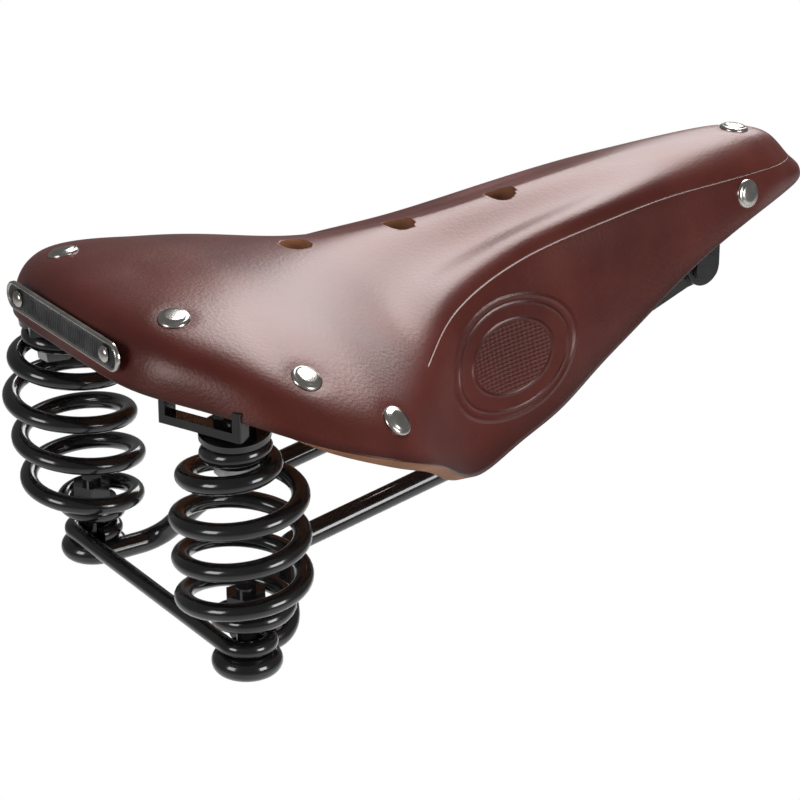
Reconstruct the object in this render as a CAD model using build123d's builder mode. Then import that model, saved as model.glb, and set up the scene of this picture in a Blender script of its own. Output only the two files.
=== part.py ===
from build123d import *
from math import cos, pi, radians, sin
import os

# Sprung bicycle saddle with a tensioned leather top.
# +X points to the nose, +Y to the rider's left, +Z up, millimetres.
# The origin lies midway between the two rails, at the middle of their clamping stretch.

os.makedirs("parts", exist_ok=True)

# driving dimensions
rail_wire = 7.0
rail_gauge = 44.0           # centre to centre over the clamping stretch
clamp_length = 68.0         # straight stretch of each rail
rail_slope = 10.0           # degrees, rising to the nose
foot_x, foot_y, foot_z = -65.0, 46.0, -25.5
eye_radius = 6.9            # middle line of the rail's eye
brace_wire = 5.0
spring_wire = 5.4
spring_coil = 17.4          # middle line of the wide coils
spring_top = (-71.6, 53.4, 46.6)
bolt_radius = 3.0
hide_thickness = 4.6
plate_gap = 0.25
plate_thickness = 2.0
pivot_x, pivot_z = 130.0, 44.5
tension_z = 65.5

# sections of the hide from the rear face to the nose tip:
# place along X, half width at the lower edge, lower edge height,
# half width at the shoulder, shoulder height, crown height
hide_sections = (
    (-95.4, 33.0, 61.5, 30.0, 71.0, 74.0),
    (-91.5, 40.0, 60.8, 36.0, 72.5, 78.0),
    (-82.0, 54.5, 58.8, 47.0, 71.5, 80.3),
    (-64.0, 76.0, 54.0, 63.0, 66.0, 80.8),
    (-38.0, 87.4, 45.0, 73.0, 59.0, 79.3),
    (-12.0, 71.0, 30.0, 58.0, 54.5, 78.2),
    (12.0, 55.0, 17.0, 41.0, 60.5, 78.0),
    (48.0, 40.0, 21.5, 28.0, 67.5, 80.0),
    (88.0, 29.0, 38.0, 22.0, 72.0, 82.5),
    (125.0, 24.0, 54.0, 19.5, 75.0, 85.0),
    (155.0, 19.5, 62.0, 16.0, 77.0, 85.0),
    (170.0, 12.0, 65.0, 10.0, 74.0, 79.5),
    (177.6, 4.0, 66.5, 3.2, 69.0, 71.0),
)


def hide_form(inset, open_below=0.0):
    """Solid under the hide's outer surface, drawn in by an inset all round."""
    first = hide_sections[0][0]
    last = hide_sections[-1][0]
    shrink = 1 - 2 * inset / (last - first)
    with BuildPart() as form:
        for x, edge, low, shoulder, high, crown in hide_sections:
            place = first + inset + (x - first) * shrink
            side = max(edge - inset, 1.2)
            bend = max(shoulder - inset, 1.0)
            foot = low - open_below
            with BuildSketch(Plane.YZ.offset(place)):
                with BuildLine():
                    Spline(
                        (-side, foot), (-bend, high - inset), (0, crown - inset),
                        (bend, high - inset), (side, foot),
                    )
                    Line((side, foot), (-side, foot))
                make_face()
        loft()
    return form.part


outer_form = hide_form(0)
inner_form = hide_form(hide_thickness, 12.0)
plate_outer = hide_form(hide_thickness + plate_gap, 12.0)
plate_inner = hide_form(hide_thickness + plate_gap + plate_thickness, 20.0)
hide_skin = outer_form.faces().sort_by(SortBy.AREA)[-1]


def save(part, name):
    """Label a finished piece and write it."""
    part.label = name
    export_step(part, f"parts/{name}.step")


def on_hide(x, y, z):
    """Plane that lies on the hide at the point nearest to the one given."""
    nearest = hide_skin.closest_points(Vector(x, y, z))[0]
    return Plane(origin=nearest, z_dir=hide_skin.normal_at(nearest))


# rivets: a low domed head sunk a little into the hide, a shank and a clinched tail
head_radius = 4.7
head_sink = 0.5
head_rise = 1.1
shank_radius = 2.0
tail_radius = 3.0
tail_depth = hide_thickness + plate_gap + plate_thickness + 0.5
rear_marks = ((-78.4, 32.7, 78.0), (-55.5, 64.5, 65.4), (-35.0, 78.0, 53.0))
rear_places = [on_hide(x, side * y, z) for x, y, z in rear_marks for side in (-1, 1)]
nose_places = [on_hide(150.6, 0, 90.0), on_hide(139.5, -20.0, 69.7), on_hide(139.5, 20.0, 69.7)]



def rivet_set(places):
    """A group of rivets, one square to each plane: tail, shank, head and the head's bevel."""
    with BuildPart() as group:
        with BuildSketch(*[place.offset(-tail_depth - 1.0) for place in places]):
            Circle(tail_radius)
        extrude(amount=1.0)
        with BuildSketch(*[place.offset(-tail_depth) for place in places]):
            Circle(shank_radius)
        extrude(amount=tail_depth)
        with BuildSketch(*[place.offset(-head_sink) for place in places]):
            Circle(head_radius)
        extrude(amount=head_sink + 0.4)
        with BuildSketch(*[place.offset(0.4) for place in places]):
            Circle(head_radius)
        extrude(amount=head_rise - 0.4, taper=50)
    return group.part


def rivet_rooms(places):
    """Room for rivets: a shallow seat for each head and a hole for each shank."""
    with BuildPart() as rooms:
        with BuildSketch(*[place.offset(-head_sink) for place in places]):
            Circle(head_radius + 0.3)
        extrude(amount=4.0)
        with BuildSketch(*[place.offset(-tail_depth) for place in places]):
            Circle(shank_radius + 0.06)
        extrude(amount=tail_depth)
        with BuildSketch(*[place.offset(-tail_depth) for place in places]):
            Circle(tail_radius + 0.3)
        extrude(amount=-6.0)
    return rooms.part


rear_rooms = rivet_rooms(rear_places)
nose_rooms = rivet_rooms(nose_places)
rear_rivets = rivet_set(rear_places)
save(rear_rivets, "rear_rivets")
nose_rivets = rivet_set(nose_places)
save(nose_rivets, "nose_rivets")

# badge plate across the back, held by two round-headed rivets
badge_length = 66.0
badge_height = 8.6
badge_thickness = 1.2
badge_z = 69.6
badge_hole = 25.8
rear_face = hide_sections[0][0]
badge_plane = Plane(origin=(rear_face - 0.05, 0, badge_z), x_dir=(0, -1, 0), z_dir=(-1, 0, 0))

with BuildPart() as badge_plate:
    with BuildSketch(badge_plane):
        SlotOverall(badge_length, badge_height)
    extrude(amount=badge_thickness)
    with BuildSketch(badge_plane):
        with Locations((-badge_hole, 0), (badge_hole, 0)):
            Circle(1.55)
    extrude(amount=badge_thickness, mode=Mode.SUBTRACT)
save(badge_plate.part, "badge_plate")

with BuildPart() as badge_rivets:
    with BuildSketch(badge_plane.offset(-5.0)):
        with Locations((-badge_hole, 0), (badge_hole, 0)):
            Circle(1.5)
    extrude(amount=5.0 + badge_thickness)
    with BuildSketch(badge_plane.offset(badge_thickness)):
        with Locations((-badge_hole, 0), (badge_hole, 0)):
            Circle(2.7)
    extrude(amount=1.0, taper=40)
save(badge_rivets.part, "badge_rivets")

# the hide: one sheet pressed to shape, open below, with three vent holes along the middle
vent_x = (-18.0, 18.6, 56.4)
vent_radius = 4.7
with BuildPart() as leather_top:
    add(outer_form)
    add(inner_form, mode=Mode.SUBTRACT)
    add(rear_rooms, mode=Mode.SUBTRACT)
    add(nose_rooms, mode=Mode.SUBTRACT)
    with BuildSketch(Plane.XY.offset(60)):
        with Locations(*[(x, 0) for x in vent_x]):
            Circle(vent_radius)
    extrude(amount=40, mode=Mode.SUBTRACT)
    with BuildSketch(badge_plane):
        with Locations((-badge_hole, 0), (badge_hole, 0)):
            Circle(1.55)
    extrude(amount=-8, mode=Mode.SUBTRACT)
save(leather_top.part, "leather_top")

# springs stand on the rail's eye and the brace's eye, and end under the spring cups
spring_bottom = foot_z + rail_wire / 2 + brace_wire + spring_wire / 2 + 0.2
spring_height = spring_top[2] - spring_bottom


def spring(side):
    """Barrel spring: the wire's middle line turns while its radius swells and narrows.

    The two springs are mirror images. The middle line leans from the foot's axis to the
    upper bolt's axis as it climbs. Each end has one close turn, then the pitch opens.
    """
    turns = 6.0
    per_turn = 16
    narrow = 7.7
    close_pitch = 5.6
    open_pitch = (spring_height - 2 * close_pitch - 0.5 * close_pitch) / (turns - 2.5)
    start_angle = radians(34)
    points = []
    for step in range(int(turns * per_turn) + 1):
        turn = step / per_turn
        left = turns - turn
        low_end = min(max((turn - 0.6) / 0.9, 0), 1)
        high_end = min(max((left - 0.5) / 1.5, 0), 1)
        swell = min(low_end * low_end * (3 - 2 * low_end), high_end * high_end * (3 - 2 * high_end))
        radius = narrow + (spring_coil - narrow) * swell
        climb = climbed(turn, close_pitch, open_pitch)
        if turn > turns / 2:
            climb = spring_height - climbed(left, close_pitch, open_pitch)
        share = climb / spring_height
        middle_x = foot_x + (spring_top[0] - foot_x) * share
        middle_y = foot_y + (spring_top[1] - foot_y) * share
        angle = start_angle - 2 * pi * turn
        points.append((middle_x + radius * cos(angle),
                       side * (middle_y + radius * sin(angle)), spring_bottom + climb))
    with BuildPart() as coil:
        with BuildLine() as middle:
            Spline(*points)
        with BuildSketch(Plane(origin=middle.line @ 0, z_dir=middle.line % 0)):
            Circle(spring_wire / 2)
        sweep(is_frenet=True)
    return coil.part


def climbed(turn, close_pitch, open_pitch):
    """Height after a number of turns: one close turn, half a turn of change, then open."""
    changing = min(max(turn - 1.0, 0), 0.5)
    opened = max(turn - 1.5, 0)
    change_rise = close_pitch * changing + (open_pitch - close_pitch) * changing * changing
    return close_pitch * min(turn, 1.0) + change_rise + open_pitch * opened


springs = {side: spring(side) for side in (-1, 1)}
save(springs[-1], "spring_right")
save(springs[1], "spring_left")

# cantle plate: a pressed steel rim inside the rear of the hide, with a boss over each spring
spring_axis = Vector(*spring_top) - Vector(foot_x, foot_y, foot_z)
boss_radius = 6.0
boss_bottom = 4.6           # above the middle of the top coil's wire


def upper_plane(side, along):
    """Plane square to a spring's axis, at a distance above the top coil's middle."""
    axis = Vector(spring_axis.X, side * spring_axis.Y, spring_axis.Z).normalized()
    return Plane(origin=Vector(spring_top[0], side * spring_top[1], spring_top[2]) + axis * along, z_dir=axis)


def boss(side):
    """Solid post from the spring's cup up to the inside of the hide."""
    with BuildPart() as post:
        with BuildSketch(upper_plane(side, boss_bottom)):
            Circle(boss_radius)
        extrude(amount=40)
        add(plate_outer, mode=Mode.INTERSECT)
    return post.part


def upper_bolt(side, clearance):
    """Bolt from a boss down through the top coil, its head above the cup."""
    with BuildPart() as bolt:
        with BuildSketch(upper_plane(side, -9.5)):
            Circle(bolt_radius + clearance)
        extrude(amount=18)
    return bolt.part


bosses = [boss(side) for side in (-1, 1)]
bolt_rooms = [upper_bolt(side, 0) for side in (-1, 1)]
cantle_front = -26.0
cantle_step = -62.0         # behind this the plate ends at the hide's edge, clear of the bag loops
cantle_rear_bottom = 60.0
with BuildPart() as cantle_plate:
    add(plate_outer)
    add(plate_inner, mode=Mode.SUBTRACT)
    with BuildSketch(Plane.XY.offset(52)):
        with Locations((cantle_front - 50, 0)):
            Rectangle(100, 200)
    extrude(amount=50, mode=Mode.INTERSECT)
    with BuildSketch(Plane.XY.offset(50)):
        with Locations((-20, 0)):
            Ellipse(50, 53)
    extrude(amount=50, mode=Mode.SUBTRACT)
    with BuildSketch(Plane.XY.offset(50)):
        with Locations((cantle_step - 50, 0)):
            Rectangle(100, 200)
    extrude(amount=cantle_rear_bottom - 50, mode=Mode.SUBTRACT)
    add(bosses)
    add(bolt_rooms, mode=Mode.SUBTRACT)
    add(rear_rooms, mode=Mode.SUBTRACT)
    with BuildSketch(badge_plane):
        with Locations((-badge_hole, 0), (badge_hole, 0)):
            Circle(1.55)
    extrude(amount=-8, mode=Mode.SUBTRACT)
save(cantle_plate.part, "cantle_plate")

with BuildPart() as upper_bolts:
    add(bolt_rooms)
save(upper_bolts.part, "upper_bolts")

# what hangs on each upper bolt: a cupped washer over the coil, a toothed washer and a nut
cup_radius = 10.2
cup_bottom = 2.75           # above the middle of the top coil's wire
upper_washer_radius = 7.4
for side, end in ((-1, "right"), (1, "left")):
    with BuildPart() as spring_cup:
        with BuildSketch(upper_plane(side, cup_bottom)):
            Circle(cup_radius)
            Circle(bolt_radius + 0.1, mode=Mode.SUBTRACT)
        extrude(amount=boss_bottom - cup_bottom)
        add(springs[side], mode=Mode.SUBTRACT)
    with BuildPart() as upper_washer:
        with BuildSketch(upper_plane(side, -4.6)):
            Circle(upper_washer_radius)
            Circle(bolt_radius + 0.1, mode=Mode.SUBTRACT)
        extrude(amount=1.6)
        add(springs[side], mode=Mode.SUBTRACT)
    with BuildPart() as upper_nut:
        with BuildSketch(upper_plane(side, -9.2)):
            RegularPolygon(6.4, 6)
            Circle(bolt_radius, mode=Mode.SUBTRACT)
        extrude(amount=4.5)
        add(springs[side], mode=Mode.SUBTRACT)
    save(spring_cup.part, f"spring_cup_{end}")
    save(upper_washer.part, f"upper_washer_{end}")
    save(upper_nut.part, f"upper_nut_{end}")

# rails: each wire ends in an eye under its spring, steps in and up to the clamping
# stretch, and rises to the yoke behind the nose
half_gauge = rail_gauge / 2
slope = sin(radians(rail_slope)) / cos(radians(rail_slope))
clamp_reach = clamp_length / 2 * cos(radians(rail_slope))
yoke_y = 5.6


def rail(side):
    """One rail: an eye and a bent wire, joined."""
    inner_y = foot_y - eye_radius
    rear_run = clamp_reach + 5.0
    front_run = clamp_reach + 6.5
    with BuildPart() as wire:
        with BuildLine() as middle:
            FilletPolyline(
                (foot_x, side * inner_y, foot_z),
                (-46.0, side * inner_y, foot_z),
                (-rear_run, side * half_gauge, -rear_run * slope),
                (front_run, side * half_gauge, front_run * slope),
                (pivot_x - 26.0, side * yoke_y, pivot_z - 9.5),
                (pivot_x - 6.5, side * yoke_y, pivot_z - 2.4),
                radius=(9.0, 9.0, 30.0, 16.0),
            )
        with BuildSketch(Plane(origin=middle.line @ 0, z_dir=middle.line % 0)):
            Circle(rail_wire / 2)
        sweep()
        with Locations((foot_x, side * foot_y, foot_z)):
            Torus(eye_radius, rail_wire / 2)
    return wire.part


rails = {side: rail(side) for side in (-1, 1)}
save(rails[-1], "rail_right")
save(rails[1], "rail_left")

# cross brace: a straight wire behind the feet with an eye at each end
brace_z = foot_z + rail_wire / 2 + brace_wire / 2 + 0.05
brace_radius = 6.6
with BuildPart() as cross_brace:
    with BuildLine(Plane.XY.offset(brace_z)) as brace_line:
        CenterArc((foot_x, foot_y), brace_radius, 180, -275)
        Line((foot_x - brace_radius, foot_y), (foot_x - brace_radius, -foot_y))
        CenterArc((foot_x, -foot_y), brace_radius, 180, 275)
    brace_wire_line = brace_line.wires()[0]
    with BuildSketch(Plane(origin=brace_wire_line @ 0, z_dir=brace_wire_line % 0)):
        Circle(brace_wire / 2)
    sweep(path=brace_wire_line)
save(cross_brace.part, "cross_brace")

# lower fastening at each foot: bolt from below, washer inside the bottom coil, nut
bolt_foot = foot_z - rail_wire / 2
washer_z = brace_z + brace_wire / 2 + spring_wire + 1.0
washer_thickness = 1.6
lower_head = 0.8            # low heads, sunk in the eyes
lower_washer_radius = 7.4
nut_height = 5.0
feet = ((foot_x, -foot_y), (foot_x, foot_y))
with BuildPart() as lower_bolts:
    with BuildSketch(Plane.XY.offset(bolt_foot - lower_head)):
        with Locations(*feet):
            Circle(5.5)
    extrude(amount=lower_head)
    with BuildSketch(Plane.XY.offset(bolt_foot)):
        with Locations(*feet):
            Circle(bolt_radius)
    extrude(amount=washer_z + washer_thickness + nut_height + 2.0 - bolt_foot)
save(lower_bolts.part, "lower_bolts")

with BuildPart() as lower_washers:
    with BuildSketch(Plane.XY.offset(washer_z)):
        with Locations(*feet):
            Circle(lower_washer_radius)
            Circle(bolt_radius + 0.1, mode=Mode.SUBTRACT)
    extrude(amount=washer_thickness)
    add(springs[-1], mode=Mode.SUBTRACT)
    add(springs[1], mode=Mode.SUBTRACT)
save(lower_washers.part, "lower_washers")

with BuildPart() as lower_nuts:
    with BuildSketch(Plane.XY.offset(washer_z + washer_thickness)):
        with Locations(*feet):
            RegularPolygon(6.4, 6)
            Circle(bolt_radius, mode=Mode.SUBTRACT)
    extrude(amount=nut_height)
    add(springs[-1], mode=Mode.SUBTRACT)
    add(springs[1], mode=Mode.SUBTRACT)
save(lower_nuts.part, "lower_nuts")

# yoke: the block that joins the rails at the front and holds the cross pin
yoke_half = 9.1
pin_radius = 3.0
with BuildPart() as front_yoke:
    with BuildSketch(Plane.XZ.offset(-yoke_half)):
        with BuildLine():
            Polyline(
                (pivot_x - 20, pivot_z - 13.0), (pivot_x - 4, pivot_z - 7.2), (pivot_x, pivot_z - 6.5),
                (pivot_x, pivot_z + 6.5), (pivot_x - 4, pivot_z + 5.0), (pivot_x - 20, pivot_z - 1.6),
                close=True,
            )
        make_face()
        with Locations((pivot_x, pivot_z)):
            Circle(6.5)
            Circle(pin_radius, mode=Mode.SUBTRACT)
    extrude(amount=2 * yoke_half)
    add(rails[-1], mode=Mode.SUBTRACT)
    add(rails[1], mode=Mode.SUBTRACT)
save(front_yoke.part, "front_yoke")

# shackle: two cheeks on the cross pin and a wall that the tension bolt passes through
cheek_inner = 9.5
cheek_outer = 12.0
wall_back = pivot_x + 3.0
wall_front = pivot_x + 6.5
with BuildPart() as tension_shackle:
    with BuildSketch(Plane.XZ.offset(-cheek_outer)):
        with BuildLine():
            Polyline(
                (pivot_x - 6.5, pivot_z), (pivot_x + 6.5, pivot_z), (wall_front, tension_z + 4.0),
                (wall_back, tension_z + 4.0), (wall_back - 3.0, pivot_z + 9.0), close=True,
            )
        make_face()
        with Locations((pivot_x, pivot_z)):
            Circle(6.5)
    extrude(amount=2 * cheek_outer)
    with BuildSketch(Plane.XZ.offset(-cheek_inner)):
        with Locations((pivot_x - 20, pivot_z + 13)):
            Rectangle(2 * (20 + 3.0), 60)
        with Locations((pivot_x, pivot_z)):
            Circle(7.2)
    extrude(amount=2 * cheek_inner, mode=Mode.SUBTRACT)
    with BuildSketch(Plane.XZ.offset(-cheek_outer)):
        with Locations((pivot_x, pivot_z)):
            Circle(pin_radius + 0.05)
    extrude(amount=2 * cheek_outer, mode=Mode.SUBTRACT)
    with BuildSketch(Plane.YZ.offset(pivot_x)):
        with Locations((0, tension_z)):
            Circle(bolt_radius + 0.3)
    extrude(amount=20, mode=Mode.SUBTRACT)
save(tension_shackle.part, "tension_shackle")

with BuildPart() as pivot_pin:
    with BuildSketch(Plane.XZ.offset(-cheek_outer - 2.0)):
        with Locations((pivot_x, pivot_z)):
            Circle(pin_radius)
    extrude(amount=2 * cheek_outer + 4.0)
    with BuildSketch(Plane.XZ.offset(-cheek_outer - 2.0), Plane.XZ.offset(cheek_outer + 0.3)):
        with Locations((pivot_x, pivot_z)):
            Circle(4.6)
    extrude(amount=1.7)
save(pivot_pin.part, "pivot_pin")

# nose plate: pressed steel cap inside the nose, pushed forward by the tension bolt
hide_tip = hide_sections[-1][0]
nose_plate_rear = 60.0      # the plate's lower edge, hidden behind the hide's
nose_plate_tip = 67.5
with BuildPart() as nose_plate:
    add(plate_outer)
    add(plate_inner, mode=Mode.SUBTRACT)
    with BuildSketch(Plane.XY.offset(tension_z - 5)):
        with Locations((pivot_x + 3 + 50, 0)):
            Rectangle(100, 80)
    extrude(amount=50, mode=Mode.INTERSECT)
    with BuildSketch(Plane.XZ.offset(-40)):
        with BuildLine():
            Polyline(
                (pivot_x, 40.0), (pivot_x, nose_plate_rear), (hide_tip, nose_plate_tip), (hide_tip, 40.0),
                close=True,
            )
        make_face()
    extrude(amount=80, mode=Mode.SUBTRACT)
    add(nose_rooms, mode=Mode.SUBTRACT)
save(nose_plate.part, "nose_plate")

# tension bolt: pushes the nose plate forward as its nut turns against the shackle's wall
bolt_head = 152.0
bolt_tail = 122.0
with BuildPart() as tension_bolt:
    with BuildSketch(Plane.YZ.offset(bolt_tail)):
        with Locations((0, tension_z)):
            Circle(bolt_radius)
    extrude(amount=bolt_head - bolt_tail)
    with BuildSketch(Plane.YZ.offset(bolt_head)):
        with Locations((0, tension_z)):
            Circle(5.5)
    extrude(amount=30)
    add(plate_inner, mode=Mode.INTERSECT)
save(tension_bolt.part, "tension_bolt")

with BuildPart() as tension_nut:
    with BuildSketch(Plane.YZ.offset(wall_front + 0.1)):
        with Locations((0, tension_z)):
            RegularPolygon(5.8, 6)
            Circle(bolt_radius + 0.06, mode=Mode.SUBTRACT)
    extrude(amount=5.0)
save(tension_nut.part, "tension_nut")

# bag loops: flat steel straps that hang below the rim, each joined to a boss and the plate
loop_bottom = 51.3
loop_top = cantle_rear_bottom
loop_width = 28.2
loop_bar = 2.6
loop_depth = 5.0
loop_middle = (-81.9, 51.1)
loop_turn = 22.5            # degrees that each loop turns to follow the rim
for side, end in ((-1, "right"), (1, "left")):
    outward = Vector(-cos(radians(loop_turn)), side * sin(radians(loop_turn)), 0)
    along = Vector(sin(radians(loop_turn)), side * cos(radians(loop_turn)), 0)
    with BuildPart() as bag_loop:
        with BuildSketch(Plane(
            origin=(loop_middle[0], side * loop_middle[1], loop_bottom), x_dir=along, z_dir=(0, 0, 1)
        )):
            with Locations((0, -side * loop_depth / 2)):
                Rectangle(loop_width, loop_depth)
        extrude(amount=loop_top - loop_bottom)
        fillet(bag_loop.edges().filter_by(Axis.Z), radius=0.8)
        with BuildSketch(Plane(
            origin=(loop_middle[0], side * loop_middle[1], loop_bottom + loop_bar), x_dir=along, z_dir=(0, 0, 1)
        )):
            Rectangle(loop_width - 2 * loop_bar, 4 * loop_depth)
        extrude(amount=loop_top - loop_bottom, mode=Mode.SUBTRACT)
        add(cantle_plate.part, mode=Mode.SUBTRACT)
        add(leather_top.part, mode=Mode.SUBTRACT)
    save(bag_loop.part, f"bag_loop_{end}")
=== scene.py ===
import bmesh
import bpy
import numpy as np
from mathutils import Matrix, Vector


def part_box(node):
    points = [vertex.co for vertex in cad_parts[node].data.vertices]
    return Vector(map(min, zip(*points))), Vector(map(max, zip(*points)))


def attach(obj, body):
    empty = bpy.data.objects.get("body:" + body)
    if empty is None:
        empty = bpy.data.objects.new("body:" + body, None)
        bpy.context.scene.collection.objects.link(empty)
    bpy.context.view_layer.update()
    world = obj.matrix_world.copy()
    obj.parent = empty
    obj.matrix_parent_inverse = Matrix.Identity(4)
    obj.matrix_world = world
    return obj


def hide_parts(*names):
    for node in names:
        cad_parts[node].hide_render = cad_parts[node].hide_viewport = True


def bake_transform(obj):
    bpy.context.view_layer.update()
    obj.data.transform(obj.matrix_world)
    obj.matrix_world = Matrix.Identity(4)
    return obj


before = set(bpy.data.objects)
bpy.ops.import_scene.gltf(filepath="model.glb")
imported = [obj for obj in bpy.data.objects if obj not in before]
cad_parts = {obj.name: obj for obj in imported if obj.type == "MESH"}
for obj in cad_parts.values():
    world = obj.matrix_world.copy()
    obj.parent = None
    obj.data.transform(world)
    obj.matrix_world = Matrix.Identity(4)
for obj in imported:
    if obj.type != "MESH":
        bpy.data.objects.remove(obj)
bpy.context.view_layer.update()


# The hide: one sheet of thick cowhide, wetted, pressed over a form and dried hard, then
# dyed dark red-brown and waxed. Its lower edge is cut square and left raw, and three vent
# holes are punched along the middle. Rivets hold it to the steel plates at each end.
MM = 0.001
HIDE_THICKNESS = 4.6 * MM
VENT_RADIUS = 4.7 * MM
VENT_PLACES = np.array((-18.0, 18.6, 56.4)) * MM
VENT_MIDDLE, VENT_DEPTH = 77.0 * MM, 30.0 * MM
ROWS_ROUND, ROWS_DOWN = 230, 84

# one line per section, from the middle of the back round to the nose tip, in mm:
# spine x, z; shoulder x, y, z; lower edge x, y, z; flank bulge; fullness of the top
HIDE_SECTIONS = np.array((
    (-72.0, 80.5, -92.6, 0.0, 75.0, -96.0, 0.0, 62.0, 0.0, 0.82),
    (-70.5, 80.6, -91.6, 19.5, 74.8, -95.6, 22.0, 61.8, 0.0, 0.82),
    (-68.0, 80.8, -87.6, 35.0, 74.6, -92.6, 37.5, 61.0, 0.5, 0.83),
    (-63.0, 81.1, -79.0, 48.5, 72.9, -83.0, 53.0, 59.0, 1.0, 0.82),
    (-56.0, 81.1, -68.5, 60.5, 69.4, -74.0, 66.0, 56.8, 1.0, 0.77),
    (-47.0, 80.6, -53.5, 67.5, 64.2, -58.0, 81.0, 51.4, 1.0, 0.71),
    (-32.0, 79.4, -36.5, 72.5, 58.8, -38.0, 87.4, 45.0, 0.5, 0.65),
    (-12.0, 78.1, -11.0, 58.5, 54.0, -12.0, 71.0, 30.0, -1.0, 0.56),
    (8.0, 78.0, 9.5, 41.5, 60.0, 11.0, 55.0, 17.0, -2.0, 0.53),
    (28.0, 78.2, 29.5, 32.2, 64.7, 32.0, 46.0, 18.8, -1.0, 0.52),
    (46.0, 79.6, 47.5, 27.8, 68.0, 50.0, 40.0, 22.0, 0.0, 0.54),
    (70.0, 81.8, 72.0, 25.0, 71.2, 74.0, 30.5, 29.0, 0.0, 0.62),
    (90.0, 83.6, 91.0, 23.3, 73.2, 91.0, 27.5, 37.5, 0.0, 0.70),
    (110.0, 84.9, 111.0, 21.3, 74.4, 110.0, 25.0, 48.0, 0.0, 0.75),
    (130.0, 85.3, 131.0, 19.8, 74.6, 126.0, 22.5, 55.0, 0.0, 0.77),
    (146.0, 85.2, 150.5, 17.4, 74.6, 146.0, 19.3, 61.8, 0.0, 0.76),
    (151.5, 84.8, 161.5, 13.0, 74.0, 164.5, 13.0, 65.0, 0.0, 0.72),
    (153.5, 84.4, 168.5, 7.2, 73.8, 174.3, 7.0, 66.6, 0.0, 0.70),
    (154.5, 84.1, 171.0, 0.0, 73.8, 177.4, 0.0, 67.4, -0.9, 0.70),
))


def smooth_through(knots, points, at):
    """Natural cubic spline: second slopes at the knots solve the tridiagonal system that
    makes neighbouring cubics agree, and are nought at both ends."""
    gap = np.diff(knots)
    count = len(knots)
    system = np.zeros((count, count))
    system[0, 0] = system[-1, -1] = 1
    inner = np.arange(1, count - 1)
    system[inner, inner - 1] = gap[:-1]
    system[inner, inner] = 2 * (gap[:-1] + gap[1:])
    system[inner, inner + 1] = gap[1:]
    right = np.zeros_like(points)
    right[1:-1] = 6 * np.diff(np.diff(points, axis=0) / gap[:, None], axis=0)
    bend = np.linalg.solve(system, right)
    k = np.clip(np.searchsorted(knots, at, side="right") - 1, 0, count - 2)
    step = gap[k][:, None]
    after = (at - knots[k])[:, None]
    before = step - after
    return (bend[k] * before**3 + bend[k + 1] * after**3) / (6 * step) \
        + (points[k] / step - bend[k] * step / 6) * before \
        + (points[k + 1] / step - bend[k + 1] * step / 6) * after


def hide_surface():
    """Outer face of the left half, in metres: sections run from the spine over the
    shoulder to the lower edge, and a cubic spline carries them round the outline. Each
    section's spline starts on the other side, so that the top is level at the spine, and
    the splines round the outline run on past the back and the nose for the same reason."""
    far_side = np.array((1, 1, 1, -1, 1, 1, -1, 1, 1, 1))
    past_back = HIDE_SECTIONS[2:0:-1] * far_side
    past_nose = HIDE_SECTIONS[-2:-4:-1] * far_side
    sections = np.concatenate([past_back, HIDE_SECTIONS, past_nose])
    lengths = np.cumsum(np.linalg.norm(np.diff(sections[:, 5:8], axis=0), axis=1))
    round_knots = np.concatenate([[0], lengths])
    row = smooth_through(round_knots, sections, np.linspace(round_knots[2], round_knots[-3], ROWS_ROUND))
    spine = np.stack([row[:, 0], 0 * row[:, 0], row[:, 1]], 1)
    shoulder, low_edge = row[:, 2:5], row[:, 5:8]
    top = spine + (shoulder - spine) * 0.58
    top[:, 2] = shoulder[:, 2] + (spine[:, 2] - shoulder[:, 2]) * row[:, 9]
    outward = low_edge - spine
    outward[:, 2] = 0
    outward /= np.linalg.norm(outward, axis=1)[:, None]
    flank = (shoulder + low_edge) / 2 + outward * (1.2 + row[:, 8:9])
    over = np.array((1, -1, 1))
    lines = np.stack([shoulder * over, top * over, spine, top, shoulder, flank, low_edge]).reshape(7, -1)
    knots = np.array([-0.62, -0.36, 0, 0.36, 0.62, 0.81, 1.0])
    across = smooth_through(knots, lines, np.linspace(0, 1, ROWS_DOWN))
    grid = across.reshape(ROWS_DOWN, ROWS_ROUND, 3)
    grid[:, 0, 1] = grid[:, -1, 1] = grid[0, :, 1] = 0
    return grid * MM


def grid_faces(rows, columns, turned=False):
    """Four corners of each cell of a rows by columns grid of points."""
    corner = (np.arange(rows - 1)[:, None] * columns + np.arange(columns - 1)).ravel()
    faces = np.stack([corner, corner + 1, corner + columns + 1, corner + columns], 1)
    return faces[:, ::-1] if turned else faces


def new_piece(name, points, faces, materials, finish=None, marks=None):
    """A mesh object from whole arrays, its doubles merged and its faces turned outwards.
    finish gives each face's material by number, and marks named values at its points."""
    mesh = bpy.data.meshes.new(name)
    mesh.from_pydata(np.asarray(points).reshape(-1, 3).tolist(), [], np.asarray(faces).tolist())
    if finish is not None:
        mesh.polygons.foreach_set("material_index", finish)
    for mark, values in (marks or {}).items():
        mesh.attributes.new(mark, "FLOAT", "POINT").data.foreach_set("value", values)
    work = bmesh.new()
    work.from_mesh(mesh)
    bmesh.ops.remove_doubles(work, verts=work.verts, dist=0.000001)
    bmesh.ops.recalc_face_normals(work, faces=work.faces)
    work.to_mesh(mesh)
    work.free()
    mesh.polygons.foreach_set("use_smooth", [True] * len(mesh.polygons))
    for material in materials:
        mesh.materials.append(material)
    piece = bpy.data.objects.new(name, mesh)
    bpy.context.scene.collection.objects.link(piece)
    return piece


def nodes_of(name):
    """A new material, with its node tree and its Principled shader."""
    material = bpy.data.materials.new(name)
    material.use_nodes = True
    tree = material.node_tree
    return material, tree, tree.nodes["Principled BSDF"]


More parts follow.
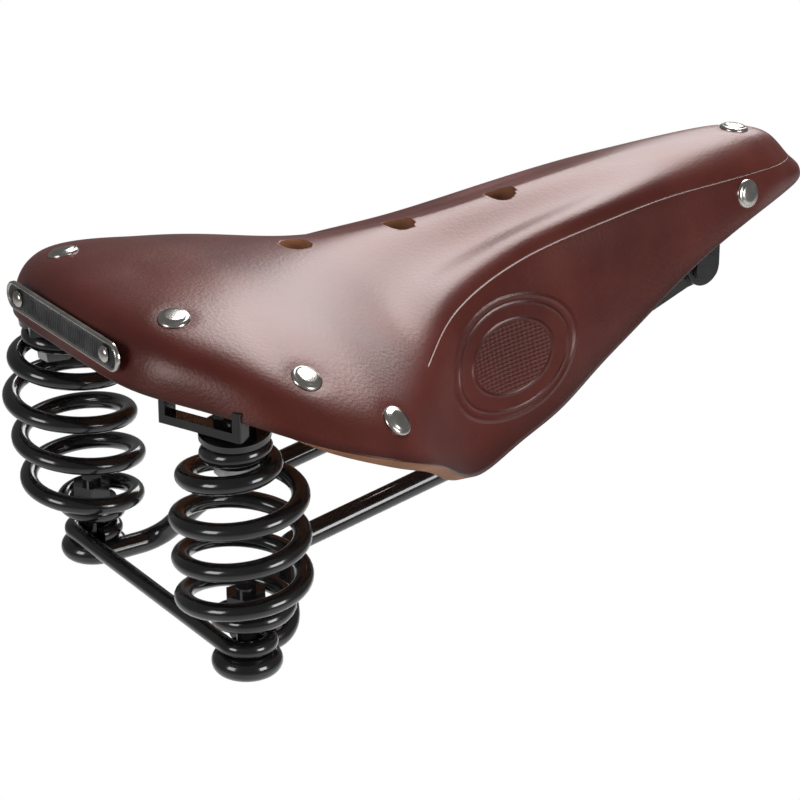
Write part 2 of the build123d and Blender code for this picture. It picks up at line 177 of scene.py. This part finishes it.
def grain_group():
    """Leather or enamel grain: fine cells and broad soft patches, as a height and a mask."""
    group = bpy.data.node_groups.new("surface grain", "ShaderNodeTree")
    for socket in ("Fine scale", "Broad scale"):
        group.interface.new_socket(socket, in_out="INPUT", socket_type="NodeSocketFloat")
    for socket in ("Height", "Patches"):
        group.interface.new_socket(socket, in_out="OUTPUT", socket_type="NodeSocketFloat")
    given = group.nodes.new("NodeGroupInput")
    result = group.nodes.new("NodeGroupOutput")
    place = group.nodes.new("ShaderNodeTexCoord")
    cells = group.nodes.new("ShaderNodeTexVoronoi")
    patches = group.nodes.new("ShaderNodeTexNoise")
    patches.inputs["Detail"].default_value = 4
    for texture, scale in ((cells, "Fine scale"), (patches, "Broad scale")):
        group.links.new(place.outputs["Object"], texture.inputs["Vector"])
        group.links.new(given.outputs[scale], texture.inputs["Scale"])
    group.links.new(cells.outputs["Distance"], result.inputs["Height"])
    group.links.new(patches.outputs["Fac"], result.inputs["Patches"])
    return group


GRAIN = grain_group()


def add_grain(tree, shader, fine, broad, depth, colours, rough):
    """Puts the grain group into a material: colours and roughness follow the patches."""
    grain = tree.nodes.new("ShaderNodeGroup")
    grain.node_tree = GRAIN
    grain.inputs["Fine scale"].default_value = fine
    grain.inputs["Broad scale"].default_value = broad
    ramp = tree.nodes.new("ShaderNodeValToRGB")
    ramp.color_ramp.elements[0].position, ramp.color_ramp.elements[1].position = 0.35, 0.68
    ramp.color_ramp.elements[0].color = (*colours[0], 1)
    ramp.color_ramp.elements[1].color = (*colours[1], 1)
    spread = tree.nodes.new("ShaderNodeMapRange")
    spread.inputs["To Min"].default_value, spread.inputs["To Max"].default_value = rough
    bump = tree.nodes.new("ShaderNodeBump")
    bump.inputs["Strength"].default_value = 0.35
    bump.inputs["Distance"].default_value = depth
    tree.links.new(grain.outputs["Patches"], ramp.inputs["Fac"])
    tree.links.new(grain.outputs["Patches"], spread.inputs["Value"])
    tree.links.new(grain.outputs["Height"], bump.inputs["Height"])
    tree.links.new(ramp.outputs["Color"], shader.inputs["Base Color"])
    tree.links.new(spread.outputs["Result"], shader.inputs["Roughness"])
    tree.links.new(bump.outputs["Normal"], shader.inputs["Normal"])
    return ramp, bump


def math_node(tree, operation, first, second=None):
    """One Math node; each operand is a number or another node's output."""
    node = tree.nodes.new("ShaderNodeMath")
    node.operation = operation
    for socket, value in zip(node.inputs, (first, second)):
        if value is None:
            continue
        if isinstance(value, (int, float)):
            socket.default_value = value
        else:
            tree.links.new(value, socket)
    return node.outputs[0]


def bell(tree, value, middle, width):
    """1 at the middle, falling in a straight line to 0 at a width from it."""
    away = math_node(tree, "DIVIDE", math_node(tree, "SUBTRACT", value, middle), width)
    peak = math_node(tree, "SUBTRACT", 1.0, math_node(tree, "ABSOLUTE", away))
    return math_node(tree, "MAXIMUM", peak, 0.0)


# the pressed oval on each flank: its middle, half length and half height, its rings as
# (ring number, width), and how closely the lines of its field cross
OVAL_X, OVAL_Z = 34.0 * MM, 43.4 * MM
OVAL_LONG, OVAL_HIGH = 28.4 * MM, 16.8 * MM
OVAL_RINGS = ((1.0, 0.05), (0.88, 0.035), (0.62, 0.035))
OVAL_FIELD, OVAL_LINES = 0.58, 46.0


def oval_height(tree):
    """Height of the oval: two raised rings round a field of crossed fine lines. The ring
    number is the distance from the middle divided by the oval's half sizes."""
    place = tree.nodes.new("ShaderNodeTexCoord")
    apart = tree.nodes.new("ShaderNodeSeparateXYZ")
    tree.links.new(place.outputs["Object"], apart.inputs[0])
    along = math_node(tree, "DIVIDE", math_node(tree, "SUBTRACT", apart.outputs["X"], OVAL_X), OVAL_LONG)
    up = math_node(tree, "DIVIDE", math_node(tree, "SUBTRACT", apart.outputs["Z"], OVAL_Z), OVAL_HIGH)
    squares = [math_node(tree, "POWER", math_node(tree, "ABSOLUTE", way), 2) for way in (along, up)]
    ring = math_node(tree, "SQRT", math_node(tree, "ADD", *squares))
    height = None
    for radius, width in OVAL_RINGS:
        ridge = bell(tree, ring, radius, width)
        height = ridge if height is None else math_node(tree, "ADD", height, ridge)
    slants = [math_node(tree, way, along, up) for way in ("ADD", "SUBTRACT")]
    waves = [math_node(tree, "SINE", math_node(tree, "MULTIPLY", slant, OVAL_LINES)) for slant in slants]
    crossed = math_node(tree, "MULTIPLY", *waves)
    inside = math_node(tree, "LESS_THAN", ring, OVAL_FIELD)
    field = math_node(tree, "MULTIPLY", math_node(tree, "MULTIPLY", crossed, inside), 0.35)
    return math_node(tree, "ADD", height, field)


def marked(tree, name):
    """A named value kept at the hide's points."""
    node = tree.nodes.new("ShaderNodeAttribute")
    node.attribute_name = name
    return node.outputs["Fac"]


TOOLED_LINE = 0.60
dyed_hide, tree, shader = nodes_of("dyed_hide")
tone, fine_bump = add_grain(tree, shader, 900, 30, 0.00010,
                            ((0.078, 0.0120, 0.0085), (0.125, 0.0230, 0.0160)), (0.30, 0.42))
shader.inputs["Specular Tint"].default_value = (1.0, 0.80, 0.76, 1)
shader.inputs["Coat Weight"].default_value = 0.05
shader.inputs["Coat Roughness"].default_value = 0.30
down, around = marked(tree, "down"), marked(tree, "around")
flank_only = math_node(tree, "GREATER_THAN", around, 0.42)
line = math_node(tree, "MULTIPLY", bell(tree, down, TOOLED_LINE, 0.006), flank_only)
# painted shade along the lower edge: over the last rows down to the cut edge, all round the hide, the colour
# is mixed towards near-black
edge_shade_amount = tree.nodes.new("ShaderNodeMapRange")
edge_shade_amount.inputs["From Min"].default_value, edge_shade_amount.inputs["From Max"].default_value = 0.93, 1.0
edge_shade_amount.inputs["To Min"].default_value, edge_shade_amount.inputs["To Max"].default_value = 0.0, 0.65
tree.links.new(down, edge_shade_amount.inputs["Value"])
with_painted_edge_shade = tree.nodes.new("ShaderNodeMix")
with_painted_edge_shade.data_type = "RGBA"
with_painted_edge_shade.inputs["B"].default_value = (0.014, 0.003, 0.002, 1)
tree.links.new(edge_shade_amount.outputs["Result"], with_painted_edge_shade.inputs["Factor"])
tree.links.new(tone.outputs["Color"], with_painted_edge_shade.inputs["A"])
lined = tree.nodes.new("ShaderNodeMix")
lined.data_type = "RGBA"
lined.inputs["B"].default_value = (0.16, 0.055, 0.035, 1)
tree.links.new(math_node(tree, "MULTIPLY", line, 0.35), lined.inputs["Factor"])
tree.links.new(with_painted_edge_shade.outputs["Result"], lined.inputs["A"])
tree.links.new(lined.outputs["Result"], shader.inputs["Base Color"])
oval_bump = tree.nodes.new("ShaderNodeBump")
oval_bump.inputs["Strength"].default_value = 0.9
oval_bump.inputs["Distance"].default_value = 0.0009
relief = math_node(tree, "SUBTRACT", oval_height(tree), math_node(tree, "MULTIPLY", line, 0.5))
tree.links.new(relief, oval_bump.inputs["Height"])
tree.links.new(fine_bump.outputs["Normal"], oval_bump.inputs["Normal"])
tree.links.new(oval_bump.outputs["Normal"], shader.inputs["Normal"])

raw_hide, tree, shader = nodes_of("raw_hide")
add_grain(tree, shader, 1400, 60, 0.0002, ((0.20, 0.075, 0.030), (0.34, 0.14, 0.060)), (0.62, 0.80))

# where each rivet sits on the left half, in metres
REAR_RIVETS = np.array(((-78.4, 32.7, 78.0), (-55.5, 64.5, 65.4), (-35.0, 78.0, 53.0))) * MM
NOSE_RIVETS = np.array(((150.6, 0.0, 85.6), (139.5, 20.0, 69.7))) * MM
DIMPLE_DEPTH, DIMPLE_RADIUS = 0.35 * MM, 6.0 * MM


def outward_normals(grid):
    """Cross product of the two grid directions, turned away from the hide's middle."""
    normal = np.cross(np.gradient(grid, axis=1), np.gradient(grid, axis=0))
    normal /= np.maximum(np.linalg.norm(normal, axis=2), 1e-12)[:, :, None]
    middle = grid.reshape(-1, 3).mean(0) * (1, 0, 0.6)
    return normal * np.where(((grid - middle) * normal).sum(2) < 0, -1, 1)[:, :, None]


half_hide = hide_surface()
hide_normals = outward_normals(half_hide)


def on_hide(place):
    """Nearest point of the hide's left half to a place, and the way out of it there."""
    row, column = np.unravel_index(np.linalg.norm(half_hide - place, axis=2).argmin(), half_hide.shape[:2])
    return half_hide[row, column].copy(), hide_normals[row, column].copy()


rear_seats = [on_hide(place) for place in REAR_RIVETS]
nose_seats = [on_hide(place) for place in NOSE_RIVETS]
for seat, _ in rear_seats + nose_seats:
    near = np.exp(-(np.linalg.norm(half_hide - seat, axis=2) / DIMPLE_RADIUS) ** 4)
    half_hide = half_hide - hide_normals * (DIMPLE_DEPTH * near)[:, :, None]
half_hide[0, :, 1] = half_hide[:, 0, 1] = half_hide[:, -1, 1] = 0


def hide_shell(outer):
    """Closed left and right halves: the outer face, an inner face set in by the hide's
    thickness, skived thinner towards the nose tip, and a strip along the cut edge."""
    skive = 1 - 0.6 * np.clip((outer[:, :, 0] - 0.150) / 0.020, 0, 1)
    normals = outward_normals(outer)
    normals[0] = normals[1]
    for middle in (normals[0], normals[:, 0], normals[:, -1]):
        middle[:, 1] = 0
        middle /= np.linalg.norm(middle, axis=1)[:, None]
    inner = outer - normals * (HIDE_THICKNESS * skive)[:, :, None]
    inner[:, :, 1] = np.maximum(inner[:, :, 1], 0)
    inner[0, :, 1] = inner[:, 0, 1] = inner[:, -1, 1] = 0
    strip = np.linspace(outer[-1], inner[-1], 4)
    points, faces, finish, down, around, start = [], [], [], [], [], 0
    for side in (1, -1):
        for grid in (outer, inner, strip):
            flat = grid_faces(*grid.shape[:2], turned=(side < 0) != (grid is inner))
            points.append((grid * (1, side, 1)).reshape(-1, 3))
            faces.append(flat + start)
            finish.append(np.full(len(flat), 0 if grid is outer else 1))
            rows, columns = grid.shape[:2]
            levels = np.ones(rows) if grid is strip else np.linspace(0, 1, rows)
            down.append(np.repeat(levels, columns))
            around.append(np.tile(np.linspace(0, 1, columns), rows))
            start += len(points[-1])
    marks = {"down": np.concatenate(down), "around": np.concatenate(around)}
    return np.concatenate(points), np.concatenate(faces), np.concatenate(finish), marks


shell_points, shell_faces, shell_finish, shell_marks = hide_shell(half_hide)
hide = new_piece("hide", shell_points, shell_faces, (dyed_hide, raw_hide), shell_finish, shell_marks)
vent_tools = []
for vent_x in VENT_PLACES:
    bpy.ops.mesh.primitive_cylinder_add(
        vertices=48, radius=VENT_RADIUS, depth=VENT_DEPTH, location=(vent_x, 0, VENT_MIDDLE))
    vent_tools.append(bpy.context.object)
gathered_tool = {"active_object": vent_tools[0], "selected_editable_objects": vent_tools}
with bpy.context.temp_override(**gathered_tool):
    bpy.ops.object.join()
vent_tool = vent_tools[0]
vent_tool.data.materials.append(raw_hide)
punch = hide.modifiers.new("vent holes", "BOOLEAN")
punch.object = vent_tool
punch.operation = "DIFFERENCE"
punch.solver = "EXACT"
punch.use_self = True
punch.material_mode = "TRANSFER"
bpy.context.view_layer.objects.active = hide
bpy.ops.object.modifier_apply(modifier=punch.name)
bpy.data.objects.remove(vent_tool)
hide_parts("leather_top")
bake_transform(hide)


# Rivets: solid nickel-plated heads, flat on top with a bevelled ring and a rolled edge,
# set down into the hide over the steel plates. Three stand on each side of the back and
# three hold the nose.
bright_metal, tree, shader = nodes_of("bright_metal")
add_grain(tree, shader, 2600, 160, 0.00002, ((0.46, 0.43, 0.40), (0.66, 0.63, 0.59)), (0.14, 0.30))
shader.inputs["Metallic"].default_value = 1.0

# distance from the middle and height above the seat, in mm
REAR_HEAD = np.array((
    (0, 1.35), (2.4, 1.3), (3.3, 1.12), (3.5, 0.86), (3.9, 0.8),
    (4.4, 0.5), (4.7, 0.0), (4.6, -0.8), (0, -0.8),
))
TURNS = 48


def turned(profile, seat, outward):
    """A profile of (radius, height) carried round the outward direction at a seat."""
    outward = np.asarray(outward, float)
    side = np.cross(outward, (1.0, 0.0, 0.0) if abs(outward[0]) < 0.8 else (0.0, 1.0, 0.0))
    side /= np.linalg.norm(side)
    ahead = np.cross(outward, side)
    angle = np.linspace(0, 2 * np.pi, TURNS + 1)
    circle = np.cos(angle)[:, None] * side + np.sin(angle)[:, None] * ahead
    profile = np.asarray(profile, float) * MM
    points = seat + profile[:, 0][:, None, None] * circle + profile[:, 1][:, None, None] * outward
    return points.reshape(-1, 3), grid_faces(len(profile), TURNS + 1)


def gathered(parts):
    """Joins several (points, faces) into one, each with its faces counted on."""
    points, faces, start = [], [], 0
    for some_points, some_faces in parts:
        points.append(some_points)
        faces.append(some_faces + start)
        start += len(some_points)
    return np.concatenate(points), np.concatenate(faces)


def both_sides(seats):
    """Seats of the left half and their mirror images, a middle one only once."""
    flip = np.array((1, -1, 1))
    return seats + [(seat * flip, out * flip) for seat, out in seats if seat[1] > 0.001]


def rivet_piece(name, seats, node, body):
    heads = [turned(REAR_HEAD, seat - out * DIMPLE_DEPTH * 0.8, out) for seat, out in both_sides(seats)]
    piece = new_piece(name, *gathered(heads), (bright_metal,))
    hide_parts(node)
    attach(piece, body)


rivet_piece("rear_rivet_heads", rear_seats, "rear_rivets", "saddle_top")
rivet_piece("nose_rivet_heads", nose_seats, "nose_rivets", "nose_piece")


# Badge: a thin pressed plate across the back, its rim raised and polished, its field grey
# with fine ribs. Two round-headed rivets hold it through the hide.
BADGE_LONG, BADGE_HIGH = 66.0 * MM, 8.6 * MM
plate_low, plate_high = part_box("badge_plate")
plate_middle = np.array((plate_low + plate_high) / 2)


def badge_face():
    """Plate with round ends: rings of a rounded outline drawn in step by step, with the
    step's height rising to the rim and falling to the field."""
    angle = np.linspace(0, 2 * np.pi, 97)
    radius = BADGE_HIGH / 2
    steps = np.array((
        (1.0, 0.0), (1.0, 0.9), (0.94, 1.2), (0.84, 1.2), (0.78, 0.75), (0.4, 0.75), (0.0, 0.75),
    ))
    straight = (BADGE_LONG / 2 - radius) * np.sign(np.cos(angle))
    y = straight + radius * np.cos(angle) * steps[:, :1]
    z = radius * np.sin(angle) * steps[:, :1]
    x = np.repeat(-steps[:, 1:] * MM, len(angle), 1)
    return np.stack([x, y, z], 2) + (plate_high.x, plate_middle[1], plate_middle[2]), len(steps), len(angle)


grey_field, tree, shader = nodes_of("grey_field")
add_grain(tree, shader, 3000, 200, 0.00003,
          ((0.045, 0.045, 0.047), (0.10, 0.10, 0.102)), (0.34, 0.5))
shader.inputs["Metallic"].default_value = 0.85
place = tree.nodes.new("ShaderNodeTexCoord")
across = tree.nodes.new("ShaderNodeSeparateXYZ")
tree.links.new(place.outputs["Object"], across.inputs[0])
RIB_SPACING = 1.1 * MM
ribs = math_node(tree, "SINE", math_node(tree, "MULTIPLY", across.outputs["Y"], 2 * np.pi / RIB_SPACING))
rib_bump = tree.nodes.new("ShaderNodeBump")
rib_bump.inputs["Strength"].default_value = 0.6
rib_bump.inputs["Distance"].default_value = 0.0002
tree.links.new(ribs, rib_bump.inputs["Height"])
tree.links.new(rib_bump.outputs["Normal"], shader.inputs["Normal"])

points, rows, columns = badge_face()
badge_faces = grid_faces(rows, columns)
in_field = np.repeat(np.arange(rows - 1) >= 4, columns - 1).astype(int)
badge = new_piece("badge", points, badge_faces, (bright_metal, grey_field), in_field)
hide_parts("badge_plate")
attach(badge, "saddle_top")
ROUND_HEAD = np.array(((0, 1.1), (1.2, 0.95), (2.1, 0.55), (2.6, 0.0), (2.5, -0.3), (0, -0.3)))
BADGE_STUD_Y = 25.8 * MM
stud_seats = [np.array((plate_low.x, y, plate_middle[2])) for y in (-BADGE_STUD_Y, BADGE_STUD_Y)]
badge_heads = [turned(ROUND_HEAD, seat, (-1, 0, 0)) for seat in stud_seats]
badge_studs = new_piece("badge_rivet_heads", *gathered(badge_heads), (bright_metal,))
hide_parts("badge_rivets")
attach(badge_studs, "saddle_top")


# Springs: hard round wire wound into barrels, one close turn at each end, dipped in black
# enamel. They stand on the rails' eyes and are bolted under the back plate.
black_enamel, tree, shader = nodes_of("black_enamel")
add_grain(tree, shader, 500, 90, 0.00003, ((0.006, 0.006, 0.007), (0.014, 0.014, 0.015)), (0.13, 0.24))
shader.inputs["Coat Weight"].default_value = 0.6
shader.inputs["Coat Roughness"].default_value = 0.08

WIRE_RADIUS = 2.7
FOOT = np.array((-65.0, 46.0))
SPRING_TOP = np.array((-71.6, 53.4, 46.6))
SPRING_FLOOR = -14.1
SPRING_TURNS, CLOSE_PITCH, NARROW, WIDE = 6.0, 5.6, 7.7, 17.4


def spring_line():
    """Middle line of the left spring's wire: it turns while its radius swells and narrows,
    and its axis leans from the foot to the upper bolt as it climbs."""
    height = SPRING_TOP[2] - SPRING_FLOOR
    open_pitch = (height - 2.5 * CLOSE_PITCH) / (SPRING_TURNS - 2.5)

    def climbed(turn):
        changing = np.clip(turn - 1, 0, 0.5)
        return CLOSE_PITCH * np.minimum(turn, 1) + CLOSE_PITCH * changing \
            + (open_pitch - CLOSE_PITCH) * changing**2 + open_pitch * np.maximum(turn - 1.5, 0)

    def eased(share):
        share = np.clip(share, 0, 1)
        return share * share * (3 - 2 * share)

    turn = np.linspace(0, SPRING_TURNS, 361)
    left = SPRING_TURNS - turn
    radius = NARROW + (WIDE - NARROW) * np.minimum(eased((turn - 0.6) / 0.9), eased((left - 0.5) / 1.5))
    climb = np.where(turn > SPRING_TURNS / 2, height - climbed(left), climbed(turn))
    middle = FOOT + (SPRING_TOP[:2] - FOOT) * (climb / height)[:, None]
    angle = np.radians(34) - 2 * np.pi * turn
    x = middle[:, 0] + radius * np.cos(angle)
    y = middle[:, 1] + radius * np.sin(angle)
    return np.stack([x, y, SPRING_FLOOR + climb], 1)


def round_wire(line, radius, sides=24):
    """Tube round a line: at each point a circle square to it, its top kept level, and both
    ends drawn in to a point."""
    along = np.gradient(line, axis=0)
    along /= np.linalg.norm(along, axis=1)[:, None]
    level = np.cross(along, (0, 0, 1.0))
    level /= np.linalg.norm(level, axis=1)[:, None]
    upward = np.cross(level, along)
    angle = np.linspace(0, 2 * np.pi, sides + 1)
    size = np.full(len(line), radius)
    line = np.concatenate([line[:1], line, line[-1:]])
    size = np.concatenate([[0], size, [0]])
    level, upward = (np.concatenate([some[:1], some, some[-1:]]) for some in (level, upward))
    ring = np.cos(angle)[:, None] * level[:, None] + np.sin(angle)[:, None] * upward[:, None]
    return (line[:, None] + size[:, None, None] * ring).reshape(-1, 3), grid_faces(len(line), sides + 1)


spring_points, spring_faces = round_wire(spring_line(), WIRE_RADIUS)
for side, end in ((1, "left"), (-1, "right")):
    coil = new_piece(f"coil_spring_{end}", spring_points * (1, side, 1) * MM, spring_faces, (black_enamel,))
    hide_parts(f"spring_{end}")
    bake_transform(coil)


# Undercarriage and fastenings: bent steel wire, pressed plates and bolts in the same black
# enamel, with bright zinc nuts. These keep their CAD shape and take their finish here.
zinc, tree, shader = nodes_of("zinc")
add_grain(tree, shader, 1800, 120, 0.00003, ((0.42, 0.42, 0.42), (0.62, 0.62, 0.61)), (0.24, 0.40))
shader.inputs["Metallic"].default_value = 1.0

ZINC_NODES = ("upper_nut_left", "upper_nut_right", "tension_bolt", "tension_nut")
replaced = {
    "leather_top", "rear_rivets", "nose_rivets", "badge_plate", "badge_rivets", "spring_left", "spring_right",
}
for name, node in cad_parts.items():
    if name in replaced:
        continue
    node.data.materials.clear()
    node.data.materials.append(zinc if name in ZINC_NODES else black_enamel)


# Setting: a white floor well below, two soft lamps high beyond the nose, weaker ones by the
# back and the near flank, and a dim white room, so that highlights keep soft edges.
def seen_white(tree, output, surface, white):
    """White where the camera sees it; elsewhere the given surface lights the object."""
    in_world = surface.bl_idname == "ShaderNodeBackground"
    glow = tree.nodes.new("ShaderNodeBackground" if in_world else "ShaderNodeEmission")
    glow.inputs["Color"].default_value = (1, 1, 1, 1)
    glow.inputs["Strength"].default_value = white
    path = tree.nodes.new("ShaderNodeLightPath")
    mix = tree.nodes.new("ShaderNodeMixShader")
    tree.links.new(path.outputs["Is Camera Ray"], mix.inputs["Fac"])
    tree.links.new(surface.outputs[0], mix.inputs[1])
    tree.links.new(glow.outputs[0], mix.inputs[2])
    tree.links.new(mix.outputs[0], output.inputs["Surface"])


paper, tree, shader = nodes_of("paper")
shader.inputs["Base Color"].default_value = (0.80, 0.80, 0.80, 1)
shader.inputs["Roughness"].default_value = 0.9
seen_white(tree, tree.nodes["Material Output"], shader, 1.0)
FLOOR_DROP = 0.45
bpy.ops.mesh.primitive_plane_add(size=14, location=(0, 0, -FLOOR_DROP))
floor = bpy.context.object
floor.name = "floor"
floor.data.materials.append(paper)

world = bpy.data.worlds.new("studio")
bpy.context.scene.world = world
world.use_nodes = True
room = world.node_tree.nodes["Background"]
room.inputs["Color"].default_value = (1, 1, 1, 1)
room.inputs["Strength"].default_value = 0.16
seen_white(world.node_tree, world.node_tree.nodes["World Output"], room, 1.0)


def lamp(name, place, aim, power, size):
    light = bpy.data.lights.new(name, "AREA")
    light.energy, light.size = power, size
    holder = bpy.data.objects.new(name, light)
    holder.location = place
    holder.rotation_mode = "QUATERNION"
    holder.rotation_quaternion = (Vector(aim) - Vector(place)).to_track_quat("-Z", "Y")
    bpy.context.scene.collection.objects.link(holder)


lamp("high right", (0.65, 0.45, 1.10), (0.08, 0, 0.06), 15, 0.7)
lamp("far right", (0.95, 0.75, 0.62), (0.04, 0, 0.06), 5, 0.6)
lamp("by the back", (-1.1, -0.15, 0.35), (-0.06, 0, 0.04), 4, 0.45)
lamp("flank", (0.35, -1.2, 0.30), (0.05, 0, 0.04), 7, 0.5)
bpy.context.scene.view_settings.view_transform = "Standard"

eye = Vector((-0.43405, -0.66868, 0.35860))
back = Vector((-0.5175, -0.7632, 0.3870)).normalized()
camera = bpy.data.objects.new("camera", bpy.data.cameras.new("camera"))
camera.data.lens = 127.15
camera.data.sensor_width = 36
camera.location = eye
camera.rotation_mode = "QUATERNION"
camera.rotation_quaternion = (-back).to_track_quat("-Z", "Y")
bpy.context.scene.collection.objects.link(camera)
bpy.context.scene.camera = camera
